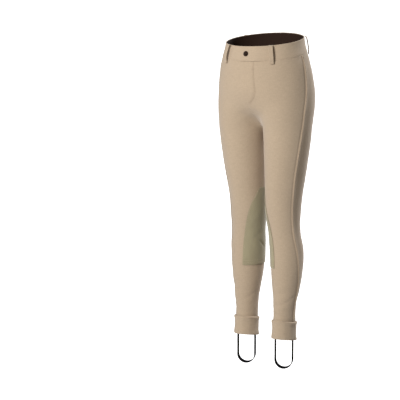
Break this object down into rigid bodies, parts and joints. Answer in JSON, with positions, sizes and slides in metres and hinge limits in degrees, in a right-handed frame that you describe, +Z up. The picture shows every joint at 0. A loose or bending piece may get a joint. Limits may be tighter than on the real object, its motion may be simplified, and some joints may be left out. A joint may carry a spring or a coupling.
{
  "type": "riding breeches",
  "caption": "Riding breeches held in their worn shape, open at waist and hems, with inner knee patches, turned-up cuffs and elastic foot straps.",
  "frame": {"origin": "centre of the waist opening, half way down the waistband", "axes": "+Z up, the wearer faces -Y, the wearer's left is +X"},
  "size_m": [0.3094, 0.229, 1.0308],
  "materials": {
    "cloth": "matte",
    "seat_cloth": "matte",
    "band_facing": "matte",
    "patch_suede": "matte",
    "strap_elastic": "matte",
    "button_plastic": "satin"
  },
  "bodies": {
    "root": {"front_left": "cloth", "front_right": "cloth", "back_left": "cloth", "back_right": "cloth", "waistband": "cloth", "fly_placket": "cloth", "side_piping_left": "cloth", "side_piping_right": "cloth", "cuff_left": "cloth", "cuff_right": "cloth", "loop_front_left": "cloth", "loop_front_right": "cloth", "loop_back_left": "cloth", "loop_back_right": "cloth", "loop_centre_back": "cloth", "seat_left": "seat_cloth", "seat_right": "seat_cloth", "waistband_facing": "band_facing", "knee_patch_left": "patch_suede", "knee_patch_right": "patch_suede", "stirrup_left": "strap_elastic", "stirrup_right": "strap_elastic", "button": "button_plastic"}
  },
  "joints": []
}
